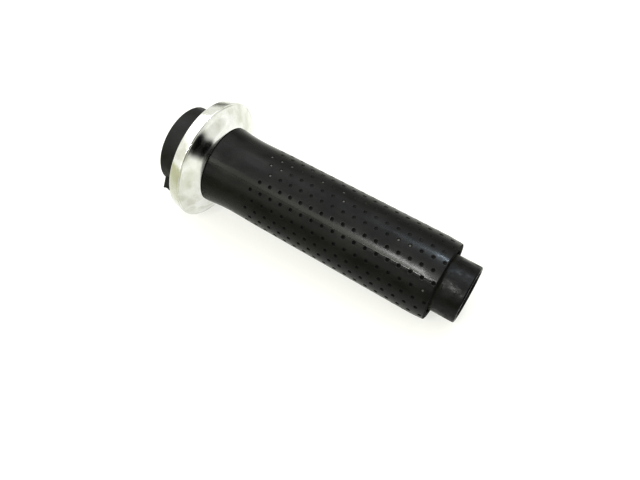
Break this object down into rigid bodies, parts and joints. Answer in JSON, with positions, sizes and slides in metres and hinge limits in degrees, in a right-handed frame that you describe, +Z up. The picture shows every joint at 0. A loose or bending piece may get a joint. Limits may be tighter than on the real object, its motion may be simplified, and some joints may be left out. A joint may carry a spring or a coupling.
{
  "type": "motorcycle throttle grip",
  "caption": "Right-hand twist throttle grip: dimpled black rubber sleeve on a moulded tube, chromed trumpet flange and a grooved cable drum.",
  "frame": {"origin": "on the handlebar's axis, at the back plane of the chromed flange", "axes": "+X along the bar to its outer end (the rider's right), +Y forward, +Z up"},
  "size_m": [0.151, 0.058, 0.058],
  "materials": {
    "tube_nylon": "smooth moulded nylon, satin",
    "drum_nylon": "moulded nylon, dull satin",
    "chrome": "bright chrome plate, lightly worn",
    "seat_plastic": "moulded plastic, matt",
    "grip_rubber": "moulded rubber, semi-gloss from use, dusty dimples"
  },
  "bodies": {
    "flange": {"chrome_flange": "chrome", "flange_seat": "seat_plastic"},
    "throttle": {"throttle_tube": "tube_nylon", "cable_drum": "drum_nylon", "rubber_grip": "grip_rubber"}
  },
  "joints": [
    {"name": "throttle_twist", "type": "hinge", "parent": "flange", "child": "throttle", "pos_m": [0, 0, 0], "axis": [1, 0, 0], "range_deg": [0, 75]}
  ]
}
